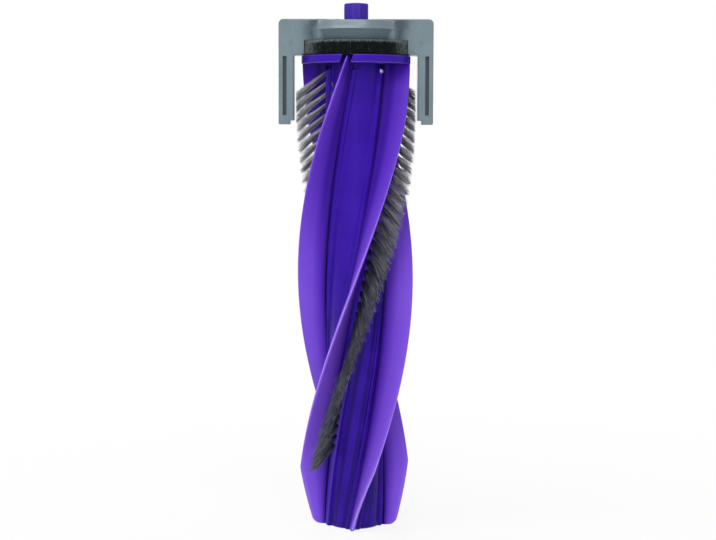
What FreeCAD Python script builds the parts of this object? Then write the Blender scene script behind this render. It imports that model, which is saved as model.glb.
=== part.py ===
import FreeCAD, Part
import math
import os

Vector = FreeCAD.Vector
ORIGIN = Vector(0, 0, 0)
UP = Vector(0, 0, 1)

# Robot vacuum roller brush, standing on its flat free end. Sizes in millimetres.
# +Z runs along the roller to the drive end, and -Y is the front.

# Roller body
ROLLER_LENGTH = 175.7           # flat end to the top of the flange
HELIX_LEAD = 360.0              # rise of a fin in one full turn, right-handed
START_ANGLE = -94.0             # direction of the first fin at the flat end, from +X
FIN_COUNT = 4
CORE_RADIUS = 9.6
CORE_BORE_RADIUS = 5.5
CORE_HEAD = 10.0                # solid length under the flange's top, above the bore
FLANGE_INSET = 1.3              # inside the fins' edges
FLANGE_THICKNESS = 3.0
NOTCH_CLEARANCE = 0.55          # beside a fin, where it passes through the flange

# Two lips on the core grip the root of each fin
LIP_HEIGHT = 1.2
LIP_WIDTH = 1.7
LIP_SINK = 1.0                  # depth to which the lips reach into the core
LIP_END_GAP = 1.7               # between the lips' ends and the flange
SLOT_FLOOR_WIDTH = 2.6          # between the lips, at the core
SLOT_MOUTH_WIDTH = 1.8          # between the lips, at their tops
FIN_CLEARANCE = 0.15            # between a fin and what grips it

# Fins
FIN_RADIUS = 21.5
FIN_ROOT_THICKNESS = 2.6
FIN_TIP_THICKNESS = 1.3
FIN_SEAT_GAP = 0.3              # between a fin's shoulders and the lips
FIN_END_RADIUS = 15.4           # tapered end of a fin, at the flat end
FIN_TAPER_LENGTH = 23.0
FIN_TOP_TAPER = 26.0            # stretch over which a fin narrows to the flange's edge
FIN_END_ROUNDING = 2.5
FIN_CORNER_STEPS = 3            # stretches of a fin around its rounded corner
FIN_TOP_DROP = 0.6              # below the top of the flange
FIN_STEP = 10.6                 # longest stretch of a fin between two sections

# Bristle tufts, in a row beside every second fin
TUFTED_FINS = (1, 3)
TUFT_ANGLE = 18.0               # ahead of the fin, around the axis
TUFT_LEAN = 33.0                # towards the flat end, from the radial direction
TUFT_PITCH = 3.84
TUFT_SIDES = 4
TUFT_ROOT_RADIUS = 0.8
TUFT_TIP_SPREAD = 1.5
TUFT_REACH = 0.8                # beyond the fins' edges
TUFT_SEAT_DEPTH = 2.2           # below the top of the land
TUFT_CLEARANCE = 0.05
TUFT_FIRST_RISE = 28.0          # lowest root, above the flat end
TUFT_LAST_DROP = 3.3            # highest root, below the flange
LAND_HEIGHT = 1.6               # land that holds the tufts, above the core
LAND_WIDTH = 3.0

# Plug and pivot bush at the flat end
PLUG_LENGTH = 14.0
END_BUSH_RADIUS = 4.5
END_BUSH_LENGTH = 9.7
END_BUSH_RECESS = 0.3
PIVOT_RADIUS = 3.0

# Journal, its bearing and the drive nub
JOURNAL_RADIUS = 5.0
JOURNAL_CLEARANCE = 0.05
PRESS_CLEARANCE = 0.03
WASHER_THICKNESS = 0.6
WASHER_CLEARANCE = 0.3
WASHER_PLAY = 0.15              # axial play under the bush
BUSH_WALL = 2.0
BUSH_FLANGE_WIDTH = 1.55        # outside the bush's sleeve
BUSH_FLANGE_THICKNESS = 1.2
SHOULDER_INSET = 0.6            # inside the bush's flange
NUB_FLATS = 8.3                 # across the four drive flats
NUB_CORNERS = 9.0               # across the flattened corners
NUB_LENGTH = 6.0                # above the bracket
NUB_CHAMFER = 0.8

# Felt dust seal
FELT_INSET = 0.4                # inside the roller's flange
FELT_THICKNESS = 5.1
FELT_CLEARANCE = 0.2
RUNNING_GAP = 0.25              # flange to felt and bracket

# End bracket
BRUSH_CLEARANCE = 0.5           # between the tuft tips and the arms
BRACKET_DEPTH = 12.0
BRIDGE_HEIGHT = 13.1
BRIDGE_CORNER = 1.7
ARM_THICKNESS = 5.7
ARM_LENGTH = 25.5               # below the bridge
ARM_STEP_WIDTH = 1.5
ARM_STEP_HEIGHT = 1.5
GROOVE_WIDTH = 1.4
GROOVE_INSET = 1.6              # from the arm's outer face
GROOVE_DEPTH = 2.5
GROOVE_TOP_DROP = 0.5           # below the bridge
GROOVE_FOOT_RISE = 3.4          # above the arm's foot
BOSS_INSET = 2.5                # inside the felt's edge, at the brow
BOSS_DRAFT = 1.3                # from the brow in to the boss's top
BOSS_BROW_HEIGHT = 4.5          # above the felt's seat
BOSS_TOP_DROP = 0.7             # below the bridge's top
BOSS_RECESS_INSET = 9.3         # round recess across the bridge, inside the brow
BOSS_HOLLOW_DEPTH = 2.3         # hollow under the brow, front and back
BOSS_HOLLOW_WIDTH = 26.4
BOSS_TOP_WALL = 1.0             # above the bush
BOSS_TOP_CLEARANCE = 0.8        # around the journal

# Levels and distances that follow from the sizes above
LIP_TOP = CORE_RADIUS + LIP_HEIGHT
LAND_TOP = CORE_RADIUS + LAND_HEIGHT
TUFT_TIP_RADIUS = FIN_RADIUS + TUFT_REACH
FLANGE_RADIUS = FIN_RADIUS - FLANGE_INSET
NOTCH_WIDTH = FIN_ROOT_THICKNESS + 2 * NOTCH_CLEARANCE
FELT_RADIUS = FLANGE_RADIUS - FELT_INSET
BOSS_RADIUS = FELT_RADIUS - BOSS_INSET
ARM_INNER = TUFT_TIP_RADIUS + BRUSH_CLEARANCE
ARM_OUTER = ARM_INNER + ARM_THICKNESS
FLANGE_FOOT = ROLLER_LENGTH - FLANGE_THICKNESS
LIP_END = FLANGE_FOOT - LIP_END_GAP
FIN_TOP = ROLLER_LENGTH - FIN_TOP_DROP
BRACKET_FOOT = ROLLER_LENGTH + RUNNING_GAP
FELT_SEAT = BRACKET_FOOT + FELT_THICKNESS
BRACKET_TOP = BRACKET_FOOT + BRIDGE_HEIGHT
BOSS_TOP = BRACKET_TOP - BOSS_TOP_DROP
BOSS_BROW = FELT_SEAT + BOSS_BROW_HEIGHT
BUSH_FOOT = FELT_SEAT - BUSH_FLANGE_THICKNESS
BUSH_TOP = BOSS_TOP - BOSS_TOP_WALL
WASHER_TOP = BUSH_FOOT - WASHER_PLAY
SHOULDER_TOP = WASHER_TOP - WASHER_THICKNESS
BUSH_RADIUS = JOURNAL_RADIUS + JOURNAL_CLEARANCE + BUSH_WALL
BUSH_FLANGE_RADIUS = BUSH_RADIUS + BUSH_FLANGE_WIDTH
SHOULDER_RADIUS = BUSH_FLANGE_RADIUS - SHOULDER_INSET
ARM_FOOT = BRACKET_FOOT - ARM_LENGTH


def rod(radius, foot, top):
    """Solid cylinder on the roller's axis between two levels."""
    return Part.makeCylinder(radius, top - foot, Vector(0, 0, foot))


def tube(inner, outer, foot, top):
    """Hollow cylinder on the roller's axis between two levels."""
    return rod(outer, foot, top).cut(rod(inner, foot, top))


def polygon(points):
    """Closed wire through a list of points."""
    return Part.makePolygon(points + points[:1])


def turned(shape, degrees):
    """Point or shape turned about the roller's axis."""
    if isinstance(shape, Vector):
        return FreeCAD.Rotation(UP, degrees).multVec(shape)
    return shape.rotated(ORIGIN, UP, degrees)


def fin_angle(index):
    """Direction of a fin at the flat end."""
    return START_ANGLE + 360.0 / FIN_COUNT * index


def helix_turn(level):
    """Turn of the helix between the flat end and a level, in degrees."""
    return 360.0 * level / HELIX_LEAD


def twisted(points, foot, top):
    """Sweep a section, drawn as it lies at the flat end, along the helix."""
    section = polygon(points)
    helix = Part.makeHelix(HELIX_LEAD, top - foot, CORE_RADIUS)
    for shape in (section, helix):
        shape.rotate(ORIGIN, UP, helix_turn(foot))
        shape.translate(Vector(0, 0, foot))
    spine = Part.Wire(Part.makeLine(Vector(0, 0, foot), Vector(0, 0, top)))
    sweep = Part.BRepOffsetAPI.MakePipeShell(spine)
    sweep.setAuxiliarySpine(Part.Wire(helix.Edges), True, 0)
    sweep.add(section)
    sweep.build()
    sweep.makeSolid()
    return sweep.shape()


def solid_from(loops):
    """Solid bounded by flat faces, each given as a loop of points."""
    return Part.Solid(Part.Shell([Part.Face(polygon(loop)) for loop in loops]))


def skinned(rings):
    """Solid skinned with flat triangles over matching rings of points, closed at both ends."""
    loops = [rings[0], rings[-1]]
    for ring, following in zip(rings, rings[1:]):
        for side in range(len(ring)):
            loops.append([ring[side - 1], ring[side], following[side]])
            loops.append([ring[side - 1], following[side], following[side - 1]])
    return solid_from(loops)


def along_fin(corners, index, ahead=0.0):
    """Section corners, drawn as if the fin lay along +X, turned to a fin or ahead of it."""
    return [turned(Vector(x, y, 0), fin_angle(index) + ahead) for x, y in corners]


def lip(index, side):
    """One of the two lips that grip a fin, leaning over its root."""
    mouth = side * SLOT_MOUTH_WIDTH / 2
    floor = side * SLOT_FLOOR_WIDTH / 2
    outside = mouth + side * LIP_WIDTH
    sunk = CORE_RADIUS - LIP_SINK
    corners = [
        (sunk, floor),
        (CORE_RADIUS, floor),
        (LIP_TOP, mouth),
        (LIP_TOP, outside),
        (sunk, outside),
    ]
    return twisted(along_fin(corners, index), 0, FLANGE_FOOT)


def tuft_land(index):
    """Raised round-topped land for a tuft row, merged with the lip ahead of its fin."""
    sunk = CORE_RADIUS - LIP_SINK
    outside = LAND_TOP + LIP_SINK
    half = LAND_WIDTH / 2
    corners = [(sunk, -half), (outside, -half), (outside, half), (sunk, half)]
    bar = twisted(along_fin(corners, index, TUFT_ANGLE), 0, FLANGE_FOOT)
    return bar.common(rod(LAND_TOP, 0, FLANGE_FOOT))


def tuft(direction, level, root, tip, base, end):
    """Leaning bundle between two distances from the axis, spreading to its tip."""
    drop = math.tan(math.radians(TUFT_LEAN))
    rings = []
    for distance, spread in ((base, root), (end, tip)):
        ring = []
        for side in range(TUFT_SIDES):
            around = 2 * math.pi * side / TUFT_SIDES
            height = level - (distance - LAND_TOP) * drop + spread * math.cos(around)
            ring.append(turned(Vector(distance, spread * math.sin(around), height), direction))
        rings.append(ring)
    inner, outer = rings
    loops = [inner, outer]
    for side in range(TUFT_SIDES):
        loops.append([inner[side - 1], inner[side], outer[side], outer[side - 1]])
    return solid_from(loops)


def tuft_places(index):
    """Direction and level of each tuft root in the row ahead of a fin."""
    highest = FLANGE_FOOT - TUFT_LAST_DROP
    count = int((highest - TUFT_FIRST_RISE) / TUFT_PITCH) + 1
    levels = [highest - step * TUFT_PITCH for step in range(count)]
    return [(fin_angle(index) + TUFT_ANGLE + helix_turn(level), level) for level in levels]


def tuft_row(index):
    """All tufts of one row, as separate solids."""
    base = LAND_TOP - TUFT_SEAT_DEPTH
    tufts = []
    for direction, level in tuft_places(index):
        tufts.append(tuft(direction, level, TUFT_ROOT_RADIUS, TUFT_TIP_SPREAD, base, TUFT_TIP_RADIUS))
    return Part.makeCompound(tufts)


def tuft_holes(index):
    """Holes of one row: each tuft's own taper with clearance, out past the land."""
    base = LAND_TOP - TUFT_SEAT_DEPTH
    mouth = LAND_TOP + LAND_HEIGHT
    spread_rate = (TUFT_TIP_SPREAD - TUFT_ROOT_RADIUS) / (TUFT_TIP_RADIUS - base)
    root = TUFT_ROOT_RADIUS + TUFT_CLEARANCE
    wide = root + spread_rate * (mouth - base)
    return [tuft(direction, level, root, wide, base, mouth) for direction, level in tuft_places(index)]


def notch(index):
    """Twisted gap through the flange for one fin."""
    half = NOTCH_WIDTH / 2
    outer = FLANGE_RADIUS + NOTCH_WIDTH
    corners = [(CORE_BORE_RADIUS, -half), (outer, -half), (outer, half), (CORE_BORE_RADIUS, half)]
    return twisted(along_fin(corners, index), FLANGE_FOOT - RUNNING_GAP, BRACKET_FOOT)


def notched_flange():
    """Flange with a gap for each fin."""
    flange = tube(CORE_BORE_RADIUS, FLANGE_RADIUS, FLANGE_FOOT, ROLLER_LENGTH)
    return flange.cut([notch(index) for index in range(FIN_COUNT)])


def centred_block(width, foot, top):
    """Square block on the roller's axis between two levels."""
    return Part.makeBox(width, width, top - foot, Vector(-width / 2, -width / 2, foot))


def drive_nub():
    """Square drive with flattened corners, one corner facing the front."""
    tip = BRACKET_TOP + NUB_LENGTH
    square = turned(centred_block(NUB_FLATS, BUSH_TOP, tip), 45)
    nub = square.common(centred_block(NUB_CORNERS, BUSH_TOP, tip))
    top = max(nub.Faces, key=lambda face: face.CenterOfMass.z)
    return nub.makeChamfer(NUB_CHAMFER, top.Edges)


def spindle():
    """Shoulder, journal and drive nub."""
    shoulder = rod(SHOULDER_RADIUS, FLANGE_FOOT, SHOULDER_TOP)
    journal = rod(JOURNAL_RADIUS, FLANGE_FOOT, BOSS_TOP)
    return shoulder.fuse(journal).fuse(drive_nub()).removeSplitter()


def roller_core():
    """Purple moulding: hollow core with lips and lands, notched flange and spindle."""
    rails = []
    for index in range(FIN_COUNT):
        rails += [lip(index, -1), lip(index, 1)]
    rails += [tuft_land(index) for index in TUFTED_FINS]
    core = rod(CORE_RADIUS, 0, ROLLER_LENGTH).fuse(rails)
    core = core.fuse(notched_flange()).fuse(spindle()).removeSplitter()
    holes = [rod(CORE_BORE_RADIUS, 0, ROLLER_LENGTH - CORE_HEAD)]
    holes.append(tube(CORE_RADIUS, LAND_TOP + LIP_SINK, LIP_END, FLANGE_FOOT))
    for index in TUFTED_FINS:
        holes += tuft_holes(index)
    return core.cut(holes)


def fin_reach(level):
    """Radius of a fin's edge at a level: a cylinder that narrows to the flange and to a rounded corner."""
    taper = FIN_END_RADIUS + (FIN_RADIUS - FIN_END_RADIUS) * level / FIN_TAPER_LENGTH
    narrowing = FLANGE_RADIUS + (FIN_RADIUS - FLANGE_RADIUS) * (FIN_TOP - level) / FIN_TOP_TAPER
    reach = min(FIN_RADIUS, taper, narrowing)
    if level < FIN_END_ROUNDING:
        short = FIN_END_ROUNDING - level
        reach -= FIN_END_ROUNDING - math.sqrt(FIN_END_ROUNDING ** 2 - short ** 2)
    return reach


def fin_levels():
    """Levels of a fin's sections, closer together at its rounded corner."""
    turns = [math.pi / 2 * step / FIN_CORNER_STEPS for step in range(FIN_CORNER_STEPS + 1)]
    levels = [FIN_END_ROUNDING * (1 - math.cos(turn)) for turn in turns]
    stretches = [FIN_END_ROUNDING, FIN_TAPER_LENGTH, FIN_TOP - FIN_TOP_TAPER, FIN_TOP]
    for start, end in zip(stretches, stretches[1:]):
        steps = math.ceil((end - start) / FIN_STEP)
        levels += [start + (end - start) * (step + 1) / steps for step in range(steps)]
    return levels


def fin(index):
    """Soft helical fin: a root that widens under the lips and a blade that thins to its edge."""
    seat = LIP_TOP + FIN_SEAT_GAP
    neck = (LIP_TOP + seat) / 2
    rings = []
    for level in fin_levels():
        half = [
            (CORE_RADIUS + FIN_CLEARANCE, SLOT_FLOOR_WIDTH / 2 - FIN_CLEARANCE),
            (neck, SLOT_MOUTH_WIDTH / 2 - FIN_CLEARANCE),
            (seat, FIN_ROOT_THICKNESS / 2),
            (fin_reach(level), FIN_TIP_THICKNESS / 2),
        ]
        section = half + [(x, -y) for x, y in reversed(half)]
        direction = fin_angle(index) + helix_turn(level)
        rings.append([turned(Vector(x, y, level), direction) for x, y in section])
    return skinned(rings)


def end_plug():
    """Plug that closes the bore at the flat end and holds the pivot bush."""
    plug = rod(CORE_BORE_RADIUS - PRESS_CLEARANCE, 0, PLUG_LENGTH)
    return plug.cut(rod(END_BUSH_RADIUS + PRESS_CLEARANCE, 0, END_BUSH_RECESS + END_BUSH_LENGTH))


def end_bush():
    """Plain bush that turns on the robot's fixed pin."""
    return tube(PIVOT_RADIUS, END_BUSH_RADIUS, END_BUSH_RECESS, END_BUSH_RECESS + END_BUSH_LENGTH)


def bearing_bush():
    """Flanged bush, pressed up into the boss, in which the journal turns."""
    bore = JOURNAL_RADIUS + JOURNAL_CLEARANCE
    sleeve = tube(bore, BUSH_RADIUS, BUSH_FOOT, BUSH_TOP)
    return sleeve.fuse(tube(bore, BUSH_FLANGE_RADIUS, BUSH_FOOT, FELT_SEAT)).removeSplitter()


def thrust_washer():
    """Washer that lies on the roller's shoulder."""
    return tube(JOURNAL_RADIUS + WASHER_CLEARANCE, SHOULDER_RADIUS, SHOULDER_TOP, WASHER_TOP)


def felt_ring():
    """Felt dust seal in the bracket's underside."""
    return tube(BUSH_FLANGE_RADIUS + FELT_CLEARANCE, FELT_RADIUS, BRACKET_FOOT, FELT_SEAT)


def bracket_frame():
    """Bridge with two arms: one outline of the front, carried through the depth."""
    step_side = ARM_INNER + ARM_STEP_WIDTH
    step_top = ARM_FOOT + ARM_STEP_HEIGHT
    right = [
        (ARM_INNER, BRACKET_FOOT),
        (ARM_INNER, step_top),
        (step_side, step_top),
        (step_side, ARM_FOOT),
        (ARM_OUTER, ARM_FOOT),
        (ARM_OUTER, BRACKET_TOP),
    ]
    front = -BRACKET_DEPTH / 2
    points = [Vector(x, front, z) for x, z in right]
    points += [Vector(-x, front, z) for x, z in reversed(right)]
    frame = Part.Face(polygon(points)).extrude(Vector(0, BRACKET_DEPTH, 0))
    corners = []
    for edge in frame.Edges:
        middle = edge.CenterOfMass
        if math.isclose(abs(middle.x), ARM_OUTER) and math.isclose(middle.z, BRACKET_TOP):
            corners.append(edge)
    return frame.makeFillet(BRIDGE_CORNER, corners)


def arm_groove(side, face):
    """Narrow blind groove in one face of one arm."""
    foot = ARM_FOOT + GROOVE_FOOT_RISE
    top = BRACKET_FOOT - GROOVE_TOP_DROP
    groove = Part.makeBox(GROOVE_WIDTH, GROOVE_DEPTH, top - foot)
    middle_x = side * (ARM_OUTER - GROOVE_INSET - GROOVE_WIDTH / 2)
    middle_y = face * (BRACKET_DEPTH / 2 - GROOVE_DEPTH / 2)
    groove.translate(Vector(middle_x - GROOVE_WIDTH / 2, middle_y - GROOVE_DEPTH / 2, foot))
    return groove


def revolved(profile):
    """Solid turned about the roller's axis from a profile of radius and level."""
    face = Part.Face(polygon([Vector(radius, 0, level) for radius, level in profile]))
    return face.revolve(ORIGIN, UP, 360)


def boss_hollow():
    """Hollow under the brow: a turned wedge, kept only within its width at the front and the back."""
    floor = BOSS_RADIUS - BOSS_HOLLOW_DEPTH
    outside = BOSS_RADIUS + BOSS_HOLLOW_DEPTH
    profile = [
        (floor, FELT_SEAT),
        (outside, FELT_SEAT),
        (outside, BOSS_BROW),
        (BOSS_RADIUS, BOSS_BROW),
    ]
    slab = Part.makeBox(BOSS_HOLLOW_WIDTH, 2 * outside, BOSS_BROW - FELT_SEAT)
    slab.translate(Vector(-BOSS_HOLLOW_WIDTH / 2, -outside, FELT_SEAT))
    return revolved(profile).common(slab)


def bracket_boss():
    """Turned boss that holds the bush, with a hollow under its brow at the front and the back."""
    profile = [
        (0, FELT_SEAT),
        (BOSS_RADIUS, FELT_SEAT),
        (BOSS_RADIUS, BOSS_BROW),
        (BOSS_RADIUS - BOSS_DRAFT, BOSS_TOP),
        (0, BOSS_TOP),
    ]
    return revolved(profile).cut(boss_hollow())


def end_bracket():
    """Grey moulding that carries the roller's drive end."""
    bracket = bracket_frame().fuse(bracket_boss())
    cuts = [
        rod(FELT_RADIUS + FELT_CLEARANCE, ARM_FOOT, FELT_SEAT),
        rod(BUSH_RADIUS + PRESS_CLEARANCE, FELT_SEAT, BUSH_TOP),
        rod(JOURNAL_RADIUS + BOSS_TOP_CLEARANCE, BUSH_TOP, BRACKET_TOP),
        rod(BOSS_RADIUS - BOSS_RECESS_INSET, BOSS_TOP, BRACKET_TOP),
    ]
    for side in (-1, 1):
        for face in (-1, 1):
            cuts.append(arm_groove(side, face))
    return bracket.cut(cuts).removeSplitter()


def pieces():
    """Every piece by its name."""
    named = {"roller_core": roller_core()}
    for index in range(FIN_COUNT):
        named[f"fin_{index + 1}"] = fin(index)
    for number, index in enumerate(TUFTED_FINS):
        named[f"tuft_row_{number + 1}"] = tuft_row(index)
    named["end_plug"] = end_plug()
    named["end_bush"] = end_bush()
    named["bearing_bush"] = bearing_bush()
    named["thrust_washer"] = thrust_washer()
    named["felt_ring"] = felt_ring()
    named["end_bracket"] = end_bracket()
    return named


os.makedirs("parts", exist_ok=True)
for name, shape in pieces().items():
    shape.exportStep(f"parts/{name}.step")
    print(f"{name}: {len(shape.Solids)} solids, {shape.Volume:.1f} mm3")
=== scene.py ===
# %% [markdown]
# # Roller brush of a robot vacuum
# The brush stands on its flat end: a purple moulded core with four soft helical fins and two rows of
# bristle tufts, and a grey bracket that carries its drive end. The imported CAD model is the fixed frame.
# Each piece below is a surface worked out with numpy in millimetres, and is laid over its CAD node.

# %% Load the frame
import math

import bmesh
import bpy
import numpy as np
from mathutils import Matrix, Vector


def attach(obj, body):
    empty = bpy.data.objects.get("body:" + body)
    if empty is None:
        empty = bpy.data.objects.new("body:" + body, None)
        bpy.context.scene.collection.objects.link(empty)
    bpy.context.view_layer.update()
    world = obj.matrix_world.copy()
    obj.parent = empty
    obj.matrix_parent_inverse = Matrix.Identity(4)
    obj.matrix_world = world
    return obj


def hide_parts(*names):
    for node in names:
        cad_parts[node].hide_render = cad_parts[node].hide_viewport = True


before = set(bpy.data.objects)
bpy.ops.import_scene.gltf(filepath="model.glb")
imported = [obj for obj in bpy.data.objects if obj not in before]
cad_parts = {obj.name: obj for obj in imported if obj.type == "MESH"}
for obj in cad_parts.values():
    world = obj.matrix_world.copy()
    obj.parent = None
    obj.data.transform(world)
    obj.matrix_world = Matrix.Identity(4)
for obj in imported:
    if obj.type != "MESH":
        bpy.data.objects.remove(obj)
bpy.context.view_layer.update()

MM = 0.001

# %% [markdown]
# ## Sizes
# The looks repeat the sizes of the solids, because a piece must sit where its solid sits. Angles grow
# with height: the helix turns one degree for each millimetre, as a right-handed screw does. Sizes that
# only one piece needs stand with that piece.

# %% Sizes shared by the pieces, in millimetres and degrees
TURN_PER_MM = 1.0
FIRST_FIN = -94.0
FIN_ANGLES = FIRST_FIN + 90.0 * np.arange(4)
CORE_RADIUS = 9.6
FLANGE_RADIUS = 20.2
FIN_RADIUS = 21.5
FELT_SEAT = 181.05
BOSS_TOP = 188.35
print("fins leave the flat end at", FIN_ANGLES.tolist(), "degrees")

# %% [markdown]
# ## From arrays to a mesh
# A grid of points is numbered row by row, so its quads are four shifted copies of the same numbers.
# The mesh is then filled with whole arrays, which is far quicker than adding points one by one.


# %% Faces of grids and tubes
def grid_quads(rows, columns, closed=False):
    """Quads of a grid whose rows close on themselves; the last row may also close on the first."""
    row, column = np.meshgrid(np.arange(rows if closed else rows - 1), np.arange(columns), indexing="ij")
    beside = (column + 1) % columns
    above = (row + 1) % rows
    corners = [(row, column), (row, beside), (above, beside), (above, column)]
    return np.stack([r * columns + c for r, c in corners], -1).reshape(-1, 4)


def lofted(rings):
    """Quads between stacked rings, with one face closing each end: a tube with two lids."""
    rows, columns = rings.shape[:2]
    foot_lid = np.arange(columns)[::-1]
    top_lid = np.arange(columns) + (rows - 1) * columns
    return [grid_quads(rows, columns), np.stack([foot_lid, top_lid])]


print("a tube of three rings of eight points:", len(grid_quads(3, 8)), "quads")


# %% A mesh filled with whole arrays
def filled_mesh(name, points, faces, marks):
    """A mesh from points in mm and arrays of faces, turned outwards; marks are numbers at the points."""
    sizes = np.concatenate([np.full(len(f), f.shape[1]) for f in faces])
    mesh = bpy.data.meshes.new(name)
    mesh.vertices.add(len(points))
    mesh.vertices.foreach_set("co", (points * MM).ravel())
    mesh.loops.add(int(sizes.sum()))
    mesh.loops.foreach_set("vertex_index", np.concatenate([f.ravel() for f in faces]).astype(np.int32))
    mesh.polygons.add(len(sizes))
    mesh.polygons.foreach_set("loop_start", (np.cumsum(sizes) - sizes).astype(np.int32))
    mesh.update(calc_edges=True)
    for mark, values in marks.items():
        kept = mesh.attributes.new(mark, "FLOAT", "POINT")
        kept.data.foreach_set("value", np.ravel(values).astype(np.float32))
    work = bmesh.new()
    work.from_mesh(mesh)
    bmesh.ops.recalc_face_normals(work, faces=work.faces)
    work.to_mesh(mesh)
    work.free()
    return mesh


# %% A new piece on its body
def new_piece(name, points, faces, finish, body, slot, nodes, sharp=35.0, **marks):
    """A smooth piece at the origin that stands for CAD nodes; edges over `sharp` degrees stay sharp."""
    mesh = filled_mesh(name, np.asarray(points, float).reshape(-1, 3), faces, marks)
    mesh.shade_smooth()
    mesh.set_sharp_from_angle(angle=math.radians(sharp))
    mesh.materials.append(finish)
    piece = bpy.data.objects.new(name, mesh)
    bpy.context.scene.collection.objects.link(piece)
    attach(piece, body)
    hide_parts(*nodes)
    triangles = len(mesh.loops) - 2 * len(mesh.polygons)
    print(f"{name}: {len(mesh.vertices)} points, {triangles} triangles")


# %% [markdown]
# ## Outlines
# A moulding never has a knife-sharp corner. An outline is drawn with corners, each corner is eased by a
# short quadratic curve, and long runs get extra points so that they can be bent. An outline that runs
# round the axis is drawn unrolled: x is the way around, y the height, and `turn` is one full way round.


# %% Eased outlines
def neighbours(outline, turn):
    """The points before and after each point of a closed outline; unrolled, the ends lie one turn away."""
    before = np.roll(outline, 1, 0)
    after = np.roll(outline, -1, 0)
    before[0, 0] -= turn
    after[-1, 0] += turn
    return before, after


def eased(corners, reach, steps=5, turn=0.0):
    """Each corner C becomes (1-t)^2 A + 2t(1-t) C + t^2 B, with A and B at `reach` from C on its runs."""
    corner = np.array(corners, float)
    reach = np.broadcast_to(np.asarray(reach, float), len(corner))[:, None]
    longest_share = 0.45
    ends = []
    for other in neighbours(corner, turn):
        length = np.linalg.norm(other - corner, axis=1, keepdims=True)
        ends.append((corner + (other - corner) * np.minimum(reach / length, longest_share))[:, None])
    t = np.linspace(0, 1, steps)[None, :, None]
    curve = (1 - t) ** 2 * ends[0] + 2 * t * (1 - t) * corner[:, None] + t ** 2 * ends[1]
    return curve.reshape(-1, 2)


def divided(outline, spacing, turn=0.0):
    """The same outline with each run longer than `spacing` cut into equal parts."""
    run = neighbours(outline, turn)[1] - outline
    parts = np.maximum(np.ceil(np.linalg.norm(run, axis=1) / spacing), 1).astype(int)
    start = np.repeat(np.arange(len(outline)), parts)
    share = (np.arange(parts.sum()) - np.repeat(np.cumsum(parts) - parts, parts)) / np.repeat(parts, parts)
    return outline[start] + run[start] * share[:, None]


print("a square eased:", len(eased([(0, 0), (1, 0), (1, 1), (0, 1)], 0.2)), "points")


# %% Points around the axis and soft steps
def around_axis(radius, degrees, height):
    """Points at a distance from the axis, in a direction, at a height: (r cos a, r sin a, z)."""
    radius, angle, height = np.broadcast_arrays(radius, np.radians(degrees), height)
    return np.stack([radius * np.cos(angle), radius * np.sin(angle), height], -1)


def soft_step(values, start, end):
    """0 at `start`, 1 at `end` and 3x^2 - 2x^3 between, where x is the share of the way between them."""
    x = np.clip((values - start) / (end - start), 0, 1)
    return x * x * (3 - 2 * x)


print("half way up a soft step:", soft_step(5.0, 0, 10))

# %% [markdown]
# ## Finishes
# A finish is a small tree of nodes. Two noises at different sizes give the slow cloudiness of moulded
# plastic and the fine grain of the tool. They read Object coordinates, so the pattern is fixed to the
# piece, and marks that a piece keeps at its points say where it is worn or dusty. Images could do the
# same, but they need files and an unwrapped surface.


# %% Nodes of a finish
def new_finish(name):
    """A material with its tree, its shader and its Object coordinates."""
    finish = bpy.data.materials.new(name)
    finish.use_nodes = True
    tree = finish.node_tree
    place = tree.nodes.new("ShaderNodeTexCoord").outputs["Object"]
    return finish, tree, tree.nodes["Principled BSDF"], place


def fill(tree, made, sockets):
    """Fill sockets of a node: another node's output is linked, a plain value is set."""
    for name, value in sockets.items():
        if isinstance(value, bpy.types.NodeSocket):
            tree.links.new(value, made.inputs[name])
        else:
            made.inputs[name].default_value = value


def node(tree, kind, sockets, **settings):
    """A node with its settings and its sockets filled."""
    made = tree.nodes.new(kind)
    for name, value in settings.items():
        setattr(made, name, value)
    fill(tree, made, sockets)
    return made


def number(tree, operation, *values):
    """A number worked out from others by a Math node."""
    return node(tree, "ShaderNodeMath", dict(enumerate(values)), operation=operation).outputs[0]


def vector(tree, operation, *values):
    """The outputs of a Vector Math node: a Vector and a Value."""
    return node(tree, "ShaderNodeVectorMath", dict(enumerate(values)), operation=operation).outputs


# %% Colours, noise and bump
def linear(red, green, blue):
    """Linear colour from the 0 to 255 screen values that a paint chart gives."""
    share = np.array([red, green, blue]) / 255
    return (*np.where(share <= 0.04045, share / 12.92, ((share + 0.055) / 1.055) ** 2.4), 1.0)


def shades(tree, amount, *stops):
    """A colour ramp with (position, screen colour) stops."""
    ramp = node(tree, "ShaderNodeValToRGB", {"Fac": amount})
    elements = ramp.color_ramp.elements
    while len(elements) < len(stops):
        elements.new(0.5)
    for element, (position, colour) in zip(elements, stops):
        element.position = position
        element.color = linear(*colour)
    return ramp.outputs["Color"]


def grain(tree, place, scale, detail=3.0):
    """Noise with a number of waves per metre."""
    sockets = {"Vector": place, "Scale": scale, "Detail": detail}
    return node(tree, "ShaderNodeTexNoise", sockets).outputs["Fac"]


def mark_of(tree, name):
    """A number kept at the points of a piece, or 0 where the piece keeps none."""
    return node(tree, "ShaderNodeAttribute", {}, attribute_name=name).outputs["Fac"]


def between(tree, amount, low, high, start=0.3, end=0.7):
    """A number mapped from the range `start` to `end` to the range `low` to `high`."""
    sockets = {"Value": amount, "From Min": start, "From Max": end, "To Min": low, "To Max": high}
    return node(tree, "ShaderNodeMapRange", sockets).outputs["Result"]


def bump(tree, height, strength, depth):
    """Light falls as if the surface rose by `depth` metres where the height is white."""
    sockets = {"Height": height, "Strength": strength, "Distance": depth}
    return node(tree, "ShaderNodeBump", sockets).outputs["Normal"]


print("middle grey in linear light:", round(linear(128, 128, 128)[0], 3))

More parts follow.
